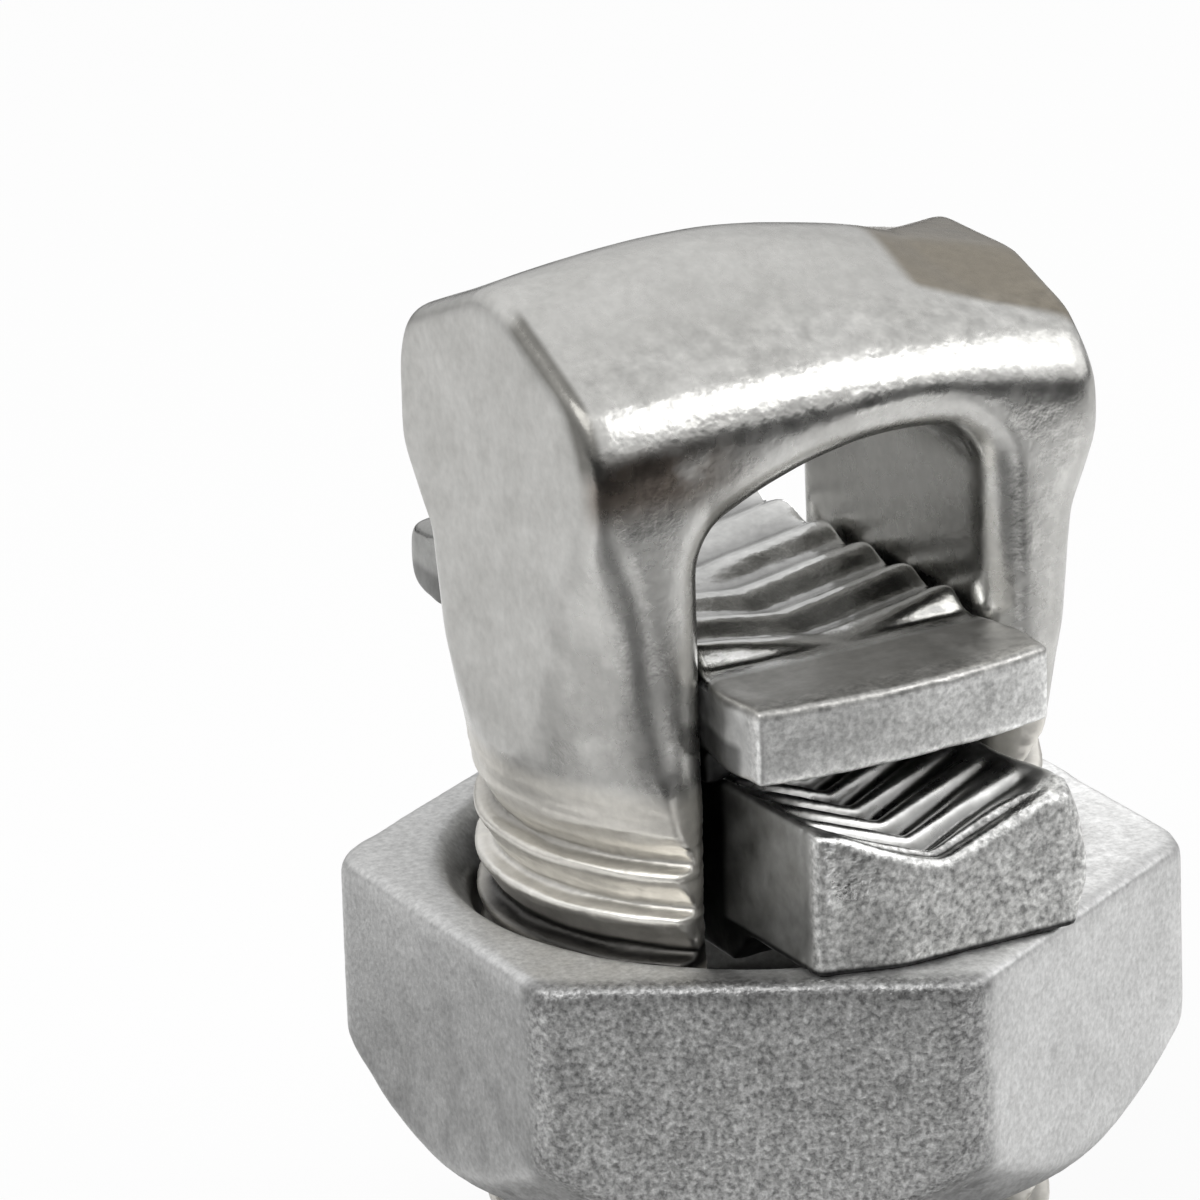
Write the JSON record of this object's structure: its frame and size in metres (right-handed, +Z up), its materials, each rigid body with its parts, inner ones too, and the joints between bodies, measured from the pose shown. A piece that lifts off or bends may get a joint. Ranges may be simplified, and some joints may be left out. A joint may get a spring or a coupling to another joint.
{
  "type": "split bolt connector",
  "caption": "Forked bolt with a hexagon nut that clamps line conductors between toothed bars in its slot.",
  "frame": {"origin": "on the floor under the leg ends, on the thread axis", "axes": "+X across the slot from leg to leg, +Y along the conductors, +Z up the thread axis to the head"},
  "size_m": [0.029, 0.0328, 0.046],
  "materials": {
    "tinned_bolt": "satin",
    "cast_spacer": "satin",
    "cast_bar": "satin",
    "cast_nut": "satin"
  },
  "bodies": {
    "bolt": {"split_bolt": "tinned_bolt"},
    "bar": {"pressure_bar": "cast_bar"},
    "nut": {"hex_nut": "cast_nut"},
    "spacer": {"spacer_bar": "cast_spacer"}
  },
  "joints": [
    {"name": "bar_travel", "type": "slide", "parent": "bolt", "child": "bar", "axis": [0, 0, 1], "range_m": [-0.008, 0.0019]},
    {"name": "nut_turn", "type": "hinge", "parent": "bar", "child": "nut", "pos_m": [0, 0, 0.0208], "axis": [0, 0, 1], "range_deg": [-1598, 378]},
    {"name": "spacer_lift", "type": "slide", "parent": "bar", "child": "spacer", "axis": [0, 0, 1], "range_m": [0, 0.001]}
  ],
  "couplings": [
    {"joint": "bar_travel", "follows": "nut_turn", "m_per_rad": 0.00028648}
  ]
}
